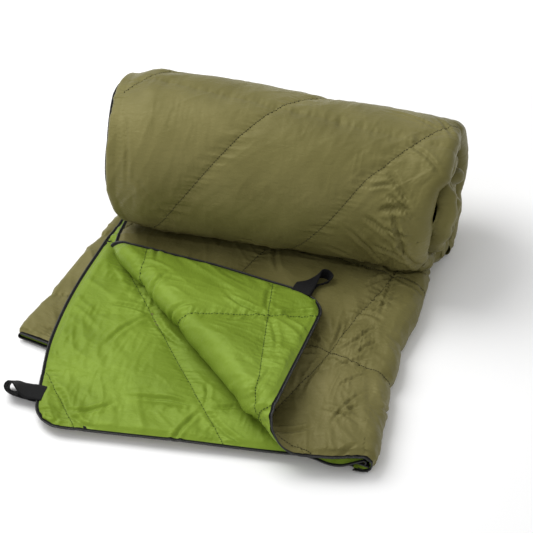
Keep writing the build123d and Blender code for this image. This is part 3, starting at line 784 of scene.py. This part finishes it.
def make_roll_fold_ends(rng):
    """Folded edge of every turn at the right end, wrinkled, with two turns that stand out."""
    w, phi = end_grid(-END_LAP, math.pi * ROLL_TURN_R + END_LAP, STEP, 345)
    p = np.dstack([end_uv(w), np.zeros_like(w)])
    high, low = np.full(w.shape, 2.6), np.full(w.shape, -3.4)
    p = finer(settle(p, high, low, np.full(w.shape, 0.07), np.full(w.shape, 0.15), rng, 100, 0.07, 0.0))
    phi = finer(phi[..., None])[..., 0]
    shift = 3.0 * np.sin(0.021 * phi + 1.0) + 2.5 * np.sin(0.047 * phi)
    shift += 17 * smooth((phi - 574) / 16) * smooth((672 - phi) / 16)
    shift += 2.4 * noise(shift.shape, 40, 4, rng) + 2.4 * noise(shift.shape, 40, 12, rng)
    shift += 13 * smooth((phi - 940) / 20) * smooth((1020 - phi) / 40)
    points = end_place(p[..., 0], phi, p[..., 2], ROLL_TURN_X, ROLL_TURN_R, ROLL_TURN_R, 1, shift)
    build_grid("roll_fold_ends", points, p[..., :2], OLIVE, flip=True, nodes=("outer_shell",))


def make_roll_closed_ends(rng):
    """Closed edge of the lower half, rolled in at the left end."""
    w, phi = end_grid(-14, math.pi * ROLL_EDGE_R + 14, 2.0, 345)
    ripple = 0.5 * noise(w.shape, 1.5, 2.5, rng)
    points = end_place(w, phi, ripple, ROLL_EDGE_X, ROLL_EDGE_R, ROLL_EDGE_R, -1, end_drift(phi))
    build_grid("roll_closed_ends", points, end_uv(w), OLIVE,
               nodes=("inner_shell",))


EDGE_HALF = 2.1           # half thickness of a quilt at its rolled zip edge
EDGE_GAP = 0.3            # room for the tape between shell and lining


def make_roll_zip_edge(quilt, depth, shell_outside, rng):
    """Zip edge of one quilt inside the roll: shell and lining turned in, tape and coil between them."""
    quarter = math.pi / 2 * EDGE_HALF
    sides = (True, -END_LAP, quarter - EDGE_GAP), (False, quarter + EDGE_GAP, 2 * quarter + END_LAP)
    for outside, w0, w1 in sides:
        cloth_side, material = ("shell", OLIVE) if outside == shell_outside else ("lining", LIME)
        w, phi = end_grid(w0, w1, 1.6, 4)
        ripple = 0.35 * noise(w.shape, 1.5, 2.0, rng)
        points = end_place(w, phi, ripple, SIDE + EDGE_HALF, EDGE_HALF, depth, -1, end_drift(phi))
        build_grid(f"{quilt}_roll_edge_{cloth_side}", points, end_uv(w), material,
                   nodes=(f"{quilt}_{cloth_side}", f"{quilt}_roll_wadding"))
    turns = spiral(4.0, ZIP_STEP)
    t = np.arange(len(turns)) * ZIP_STEP
    path = np.stack([np.zeros_like(t), t, np.zeros_like(t)], 1)

    def place(p):
        phi = np.interp(p[..., 1], t, turns)
        return roll_place(SIDE + p[..., 0] + end_drift(phi), phi, depth + p[..., 2])

    zip_strip(f"{quilt}_roll", path, np.tile([-1.0, 0.0, 0.0], (len(t), 1)), t, place, (quilt,), 6, 6)


def make_roll_ends():
    rng = np.random.default_rng(23)
    make_roll_fold_ends(rng)
    make_roll_closed_ends(rng)
    make_roll_zip_edge("inner", 11.1, True, rng)
    make_roll_zip_edge("outer", 15.6, False, rng)


# ---- the lower half ----
LOWER_R = 7.65            # half circle round its closed edge
LOWER_MID = 3.9
LOWER_LENGTH = 370.0
LOWER_SEAMS = ((-150.0, 190.0, 0.35), (95.0, 172.0, 0.3))


def lower_sheet_place(c, v, rho):
    """Across the lower half: c < 0 on top, then round the closed edge, then along the floor."""
    beta = np.clip(c / LOWER_R, 0, math.pi)
    reach = np.clip(-c, 0, None) + np.clip(c - math.pi * LOWER_R, 0, None)
    p = lower_place((LOWER_R + reach) / WIDTH, v, LOWER_R + rho * np.cos(beta))
    p[..., 0] -= rho * np.sin(beta)
    p[..., 2] = np.maximum(p[..., 2], 0.3)
    return p


def make_lower():
    rng = np.random.default_rng(31)
    c, v = np.meshgrid(np.linspace(-404, 428, 260), np.linspace(0, LOWER_LENGTH, 125), indexing="ij")
    plan = np.dstack([c, v])
    visible = smooth((150 + c) / 60) * smooth((24 - c) / 10)
    sides = ("shell", 1, OLIVE, PUFF * 0.6), ("lining", -1, LIME, -0.1)
    for side, sign, material, puff in sides:
        scale = np.where((c < 20) & (sign > 0), 1.0, HALF / (HALF + max(puff, 0)))
        p = skin(plan, LOWER_SEAMS, rng, full=HALF + puff, edge=LOWER_LENGTH - v, scale=scale,
                 extra=(0.03 * visible, 0.03 * visible), rounds=60)
        points = lower_sheet_place(p[..., 0], p[..., 1] / LOWER_LENGTH, LOWER_MID + sign * p[..., 2])
        build_grid(f"lower_{side}", points, finer(plan), material, flip=sign > 0,
                   nodes=(f"inner_{side}", f"outer_{side}"))
    c = np.linspace(-414.5, 438, 1700)
    path, t = resample(lower_sheet_place(c, np.ones_like(c), np.full_like(c, LOWER_MID)), ZIP_STEP)
    foot = np.subtract(LOWER_FOOT, LOWER_TIP)
    foot /= np.linalg.norm(foot)
    out = np.tile([foot[1], -foot[0], 0.0], (len(path), 1))
    zip_strip("lower", path, out, t, lambda q: q, ("inner", "outer"))


def zip_sweeps(path, out, t, sides=8, skip=5):
    """Coil and tape along an edge path: their slot, points, uv and material."""
    coil = coil_profile(t, sides)
    yield "zip_coil", sweep(path, out, coil), np.dstack(np.broadcast_arrays(coil[..., 1], t[:, None])), COIL
    path, out, t = path[::skip], out[::skip], t[::skip]
    uv = np.dstack(np.broadcast_arrays(TAPE_PROFILE[None, :, 0], t[:, None]))
    yield "zip_tape", sweep(path, out, TAPE_PROFILE), uv, TAPE


def zip_strip(stem, path, out, t, place, quilts, *detail):
    """Zip of one or two quilts; place takes it from sheet space to the room."""
    for part, points, uv, material in zip_sweeps(path, out, t, *detail):
        build_grid(f"{stem}_{part}", place(points), uv, material, closed=part == "zip_coil",
                   nodes=tuple(f"{quilt}_{part}" for quilt in quilts))


# ---- the inner quilt's upper half: its lime lining faces up ----
def droop(p):
    """The foot corner hangs past the lower half and sags towards the floor."""
    x, y, z = p[..., 0], p[..., 1], p[..., 2]
    slope = (LOWER_TIP[1] - LOWER_FOOT[1]) / (LOWER_FOOT[0] - LOWER_TIP[0])
    lower_edge = LOWER_FOOT[1] + slope * (LOWER_FOOT[0] - x)
    drop = 8.0 * smooth((lower_edge - 4 - y) / 60)
    return np.stack([x, y + 0.8 * drop, np.maximum(z - drop, 0.5)], -1)


def inner_place(p):
    """The inner quilt; near the fold its foot edge slips out past the outer quilt and shows the lining."""
    x, y = p[..., 0], p[..., 1]
    slip = 13.0 * smooth((-350 - y) / 45) * smooth((x - 105) / 60) * smooth((TURN_X + 10 - x) / 40)
    return droop(wrap(x, y - slip, INNER_MID + p[..., 2]))


def boundary(p):
    """Foot and zip edges of an upper layer as one path."""
    return np.concatenate([p[0, ::-1], p[1:, 0]])


def make_inner():
    rng = np.random.default_rng(41)
    a, b = grid(SIDE, TURN_X + math.pi * TURN_Z, FOOT, HEAD)
    plan = upper_plan(a, b, inner_belly, inner_foot, INNER_CORNER)
    x, y = plan[..., 0], plan[..., 1]
    edge = np.minimum(a - SIDE, b - FOOT)
    angle = sheet_angle(plan)
    open_part = 1 - smooth((angle - FOLD_BORDERS[0] + 1) / 6)
    folds = fold_stars(INNER_SEAMS, 5, 73)
    top = skin(plan, INNER_SEAMS, rng, edge=edge, scale=0.62 + 0.38 * open_part, gather=0.022, rounds=100,
               weak=9.0, tucks=folds, least=0.35)
    far = smooth((-290 - y) / 50) * smooth((60 - x) / 60)
    bottom = skin(plan, INNER_SEAMS, rng, full=HALF, edge=edge, scale=1 + 1.6 * far, rounds=30)
    wave = 0.8 * noise(a.shape, 16, 16, rng) * open_part
    wave = finer(wave[..., None])[..., 0]
    top[..., 2] += wave
    bottom[..., 2] = wave - bottom[..., 2]
    uv = finer(np.dstack([a, b]))
    build_grid("inner_upper_lining", inner_place(top), uv, LIME,
               nodes=("inner_lining", "inner_free_wadding"))
    build_grid("inner_upper_shell", inner_place(bottom), uv, OLIVE, flip=True,
               nodes=("inner_shell",))
    verts, faces = stitch_mesh(top, seam_paths(finer(plan), INNER_SEAMS, 1),
                               keep=lambda q: sheet_angle(q) < FOLD_BORDERS[0] + 5)
    points, uv = inner_place(verts), verts[:, :2]
    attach(build("inner_stitches", points, faces, uv, LIME_THREAD), "quilt")
    path, t = resample(0.5 * (boundary(top) + boundary(bottom)), ZIP_STEP)
    zip_strip("inner_upper", path, side_of(path), t, inner_place, ("inner",))
    return path


# ---- the outer quilt's upper half: olive up, its corner turned back to show the lining ----
def cad_names(part, zone):
    """CAD nodes that one cut piece of the outer quilt stands for; the linings stand for the wadding too."""
    owners = (("outer",), ("bend_1",), ("bend_2",), ("bend_3", "flap"))[zone]
    names = [f"{owner}_{part}" for owner in owners]
    if part == "lining":
        names += ["outer_free_wadding" if owner == "outer" else f"{owner}_wadding" for owner in owners]
    return names


def read(data, key, count, kind=np.float32):
    values = np.empty(count, kind)
    data.foreach_get(key, values)
    return values


def turned_pieces(part, verts, faces, uv, material):
    """Cut a sheet-space mesh at the folds and bend it; each strip turns between its two bodies."""
    temp = build("temp", verts / MM, faces, uv, material)
    mesh = temp.data
    bm = bmesh.new()
    bm.from_mesh(mesh)
    for border in FOLD_BORDERS:
        m = math.radians(border)
        bmesh.ops.bisect_plane(bm, geom=bm.verts[:] + bm.edges[:] + bm.faces[:], dist=1e-4,
                               plane_co=(APEX[0], APEX[1], 0), plane_no=(-math.sin(m), math.cos(m), 0))
    bm.to_mesh(mesh)
    bm.free()
    count = len(mesh.vertices)
    co = read(mesh.vertices, "co", count * 3, float).reshape(-1, 3)
    angle = sheet_angle(co)
    mesh.vertices.foreach_set("co", (outer_place(co) * MM).astype(np.float32).ravel())
    mesh.update()
    normals = read(mesh.vertex_normals, "vector", count * 3)
    mesh.attributes.new("rest_normal", "FLOAT_VECTOR", "POINT").data.foreach_set("vector", normals)
    mesh.attributes.new("angle", "FLOAT", "POINT").data.foreach_set("value", angle.astype(np.float32))
    loops = read(mesh.loops, "vertex_index", len(mesh.loops), np.int32)
    starts = read(mesh.polygons, "loop_start", len(mesh.polygons), np.int32)
    totals = read(mesh.polygons, "loop_total", len(mesh.polygons), np.int32)
    centre = np.add.reduceat(angle[loops], starts) / totals
    zone = (centre[:, None] < np.array(FOLD_BORDERS[1:4])[None, :]).sum(1)
    mesh.polygons.foreach_set("material_index", zone.astype(np.int32))
    for k in range(len(FOLD_PIECES)):
        if not (zone == k).any():
            continue
        bm = bmesh.new()
        bm.from_mesh(mesh)
        bmesh.ops.delete(bm, geom=[f for f in bm.faces if f.material_index != k], context="FACES")
        for f in bm.faces:
            f.material_index = 0
        name = f"outer_{part}_{FOLD_PIECES[k]}"
        piece = bpy.data.meshes.new(name)
        bm.to_mesh(piece)
        bm.free()
        piece.materials.append(material)
        n = read(piece.attributes["rest_normal"].data, "vector", len(piece.vertices) * 3)
        at = read(piece.attributes["angle"].data, "value", len(piece.vertices))
        piece.attributes.remove(piece.attributes["rest_normal"])
        piece.attributes.remove(piece.attributes["angle"])
        piece.normals_split_custom_set_from_vertices(n.reshape(-1, 3).tolist())
        obj = bpy.data.objects.new(name, piece)
        bpy.context.scene.collection.objects.link(obj)
        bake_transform(obj, FOLD_BODIES[k], FOLD_BODIES[k + 1], (0, 0, 0), (0, 0, 1))
        first, last = FOLD_BORDERS[k], FOLD_BORDERS[k + 1]
        share = np.clip((first - at) / (first - last), 0, 1).astype(np.float32)
        piece.attributes["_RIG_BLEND"].data.foreach_set("value", share)
        if not part.endswith("stitches"):
            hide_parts(*cad_names(part, k))
    bpy.data.objects.remove(temp)
    bpy.data.meshes.remove(mesh)


def make_outer():
    rng = np.random.default_rng(53)
    a, b = grid(SIDE, TURN_X + math.pi * TURN_Z + 12, FOOT, HEAD)
    plan = upper_plan(a, b, outer_belly, outer_foot, OUTER_CORNER)
    x = plan[..., 0]
    edge = np.minimum(a - SIDE, b - FOOT)
    angle = sheet_angle(plan)
    back = smooth((FOLD_BORDERS[0] - angle) / 4)
    rim = smooth((x - 100) / 70)
    folds = fold_stars(OUTER_SEAMS, 6, 71) + rim_folds(72)
    shell = skin(plan, OUTER_SEAMS, rng, edge=edge, gather=0.022, extra=(0.02 * rim, 0.13 * rim),
                 scale=1 + 0.35 * rim, rounds=110, sag=0.6, crease=0.9 + 0.3 * rim, weak=7.0,
                 tucks=folds, least=0.35)
    folds = fold_stars(OUTER_SEAMS, 5, 74)
    lining = skin(plan, OUTER_SEAMS, rng, edge=edge, gather=0.025, scale=0.65 + 0.35 * back, rounds=110,
                  sag=0.5, weak=1.5, tucks=folds, least=0.35)
    wave = 1.6 * noise(a.shape, 18, 18, rng) * smooth((FOLD_BORDERS[-1] - angle) / 18)
    wave = finer(wave[..., None])[..., 0] - HALF
    shell[..., 2] = wave + shell[..., 2]
    lining[..., 2] = wave - lining[..., 2]
    uv = finer(np.dstack([a, b])).reshape(-1, 2)
    faces = quads(*shell.shape[:2])
    turned_pieces("shell", shell.reshape(-1, 3), faces, uv, OLIVE)
    turned_pieces("lining", lining.reshape(-1, 3), faces[:, ::-1], uv, LIME)
    lines = seam_paths(finer(plan), OUTER_SEAMS)
    top, top_faces = stitch_mesh(shell, lines)
    turned_pieces("stitches", top, top_faces, top[:, :2], OLIVE_THREAD_AND_PAINTED_SHADE)
    under, under_faces = stitch_mesh(lining, lines, -1.0, lambda q: sheet_angle(q) < FOLD_BORDERS[0])
    turned_pieces("lining_stitches", under, under_faces[:, ::-1], under[:, :2], LIME_THREAD)
    path, t = resample(0.5 * (boundary(shell) + boundary(lining)), ZIP_STEP)
    for part, points, uv, material in zip_sweeps(path, side_of(path), t):
        faces = quads(*points.shape[:2], closed=part == "zip_coil")
        turned_pieces(part, points.reshape(-1, 3), faces, uv.reshape(-1, 2), material)
    return path[::5]


# ---- hanging loops ----
# one leg of a loop from its root to its far end: distance out, half the gap between the legs
LOOP_OUT = np.array([-5, 0, 5, 10, 13, 17, 24, 31, 37, 41, 43.5, 44.5])
LOOP_OPEN = np.array([2.0, 2.0, 2.0, 1.9, 1.1, 0.9, 2.0, 4.6, 5.6, 4.6, 2.4, 0.0])
WEBBING_HALF_WIDTH = 12.5
WEBBING_HALF = 0.55
ON_SIDE = -150.0          # edge points left of this belong to the side


def loop_points(root, out, side, twist, lean, opening):
    """A webbing loop: two legs over the zip at its root, twisted and leaning a little."""
    o = np.concatenate([LOOP_OUT, LOOP_OUT[-2::-1]])
    u = np.concatenate([-LOOP_OPEN, LOOP_OPEN[-2::-1]])
    u = np.where(o > 14, u * opening, u)
    k = np.linspace(0, len(o) - 1, 140)
    o, u = (np.interp(k, np.arange(len(o)), v) for v in (o, u))
    for _ in range(6):
        for v in (o, u):
            v[1:-1] = 0.25 * v[:-2] + 0.5 * v[1:-1] + 0.25 * v[2:]
    du, do = np.gradient(u), np.gradient(o)
    size = np.hypot(du, do)
    across = np.linspace(-WEBBING_HALF_WIDTH, WEBBING_HALF_WIDTH, 9)
    ring = [(s, WEBBING_HALF) for s in across] + [(s, -WEBBING_HALF) for s in across[::-1]]
    far = smooth((o - 14) / 28)
    angle = twist * far
    shift = lean * far**1.3
    points = []
    for s, n in ring:
        oo = o - n * du / size
        uu = u + n * do / size
        ss = s * np.cos(angle) - uu * np.sin(angle) + shift
        uu = s * np.sin(angle) + uu * np.cos(angle)
        points.append(root + np.outer(oo, out) + np.outer(ss, side) + np.outer(uu, (0, 0, 1)))
    points = np.array(points).swapaxes(0, 1)
    run = np.cumsum(size)
    uv = np.dstack(np.broadcast_arrays(np.array([s for s, n in ring])[None, :], run[:, None]))
    return points, uv


def nearest(path, y):
    """Point of the zip edge at a given place along the side."""
    good = np.nonzero(path[:, 0] < ON_SIDE)[0]
    return path[good[np.argmin(np.abs(path[good, 1] - y))]]


def hang_loop(name, points, uv):
    return build_grid(f"{name}_hang_loop", points, uv, WEBBING, closed=True, body=None,
                      nodes=(f"{name}_loop_root", f"{name}_loop"))


def make_loops(inner_path, outer_path):
    root = nearest(inner_path, -378.0)
    points, uv = loop_points(root, np.array([-1.0, 0.05, 0]), np.array([0.05, 1.0, 0]), -0.80, 3.0, 1.35)
    obj = hang_loop("corner", inner_place(points), uv)
    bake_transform(obj, "quilt", "corner_loop", (-0.2245, -0.38, 0.019), (-0.2365, -0.38, 0.019))
    root = nearest(outer_path, -372.0)
    points, uv = loop_points(root, np.array([-1.0, 0.0, 0]), np.array([0.0, -1.0, 0]), -1.15, 17.0, 1.5)
    obj = hang_loop("flap", outer_place(points), uv)
    start = outer_place(np.array([-219.0, root[1], root[2]])) * MM
    end = outer_place(np.array([-236.0, root[1], root[2]])) * MM
    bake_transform(obj, "flap", "flap_loop", tuple(start), tuple(end))


make_roll()
make_roll_ends()
make_lower()
inner_edge = make_inner()
outer_edge = make_outer()
make_loops(inner_edge, outer_edge)

for node in ("zip_slider", "zip_pull"):
    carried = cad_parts[node]
    carried.data.materials.clear()
    carried.data.materials.append(METAL)

# ---- floor, light and camera ----
FLOOR_HALF = 6.0
FLOOR_Z = -0.0003
floor_corners = [(x * FLOOR_HALF, y * FLOOR_HALF, FLOOR_Z) for x, y in ((-1, -1), (1, -1), (1, 1), (-1, 1))]
floor_mesh = bpy.data.meshes.new("floor")
floor_mesh.from_pydata(floor_corners, [], [(0, 1, 2, 3)])
floor = bpy.data.objects.new("floor", floor_mesh)
bpy.context.scene.collection.objects.link(floor)
paper = Nodes("white_floor")
paper.finish(Base_Color=(0.93, 0.93, 0.93, 1), Roughness=0.8, Specular_IOR_Level=0.1)
floor_mesh.materials.append(paper.material)


def area_light(name, place, target, size, power):
    data = bpy.data.lights.new(name, "AREA")
    data.shape = "RECTANGLE"
    data.size, data.size_y = size
    data.energy = power
    lamp = bpy.data.objects.new(name, data)
    lamp.location = place
    lamp.rotation_euler = (Vector(target) - Vector(place)).to_track_quat("-Z", "Y").to_euler()
    bpy.context.scene.collection.objects.link(lamp)


area_light("key", (-0.85, 0.20, 1.35), (0, -0.08, 0.05), (1.2, 1.2), 22)
area_light("front", (-0.7, -2.4, 1.2), (0, -0.1, 0.1), (1.2, 1.0), 9)

world = bpy.data.worlds.new("studio")
world.use_nodes = True
sky = world.node_tree.nodes["Background"]
sky.inputs["Color"].default_value = (1, 1, 1, 1)
seen = world.node_tree.nodes.new("ShaderNodeLightPath")
level = world.node_tree.nodes.new("ShaderNodeMapRange")
level.inputs["To Min"].default_value = 0.64
level.inputs["To Max"].default_value = 1.0
world.node_tree.links.new(seen.outputs["Is Camera Ray"], level.inputs["Value"])
world.node_tree.links.new(level.outputs["Result"], sky.inputs["Strength"])
bpy.context.scene.world = world
bpy.context.scene.view_settings.view_transform = "Standard"

CAMERA_AZIMUTH = math.radians(12.72)
CAMERA_HEIGHT = math.radians(41.51)
CAMERA_TARGET = Vector((0.00946, -0.15803, 0.080))
CAMERA_DISTANCE = 3.4
direction = Vector((math.sin(CAMERA_AZIMUTH) * math.cos(CAMERA_HEIGHT),
                    -math.cos(CAMERA_AZIMUTH) * math.cos(CAMERA_HEIGHT), math.sin(CAMERA_HEIGHT)))
lens = bpy.data.cameras.new("camera")
lens.lens = 184.8
lens.sensor_width = 36.0
camera = bpy.data.objects.new("camera", lens)
camera.location = CAMERA_TARGET + CAMERA_DISTANCE * direction
camera.rotation_euler = direction.to_track_quat("Z", "Y").to_euler()
bpy.context.scene.collection.objects.link(camera)
bpy.context.scene.camera = camera
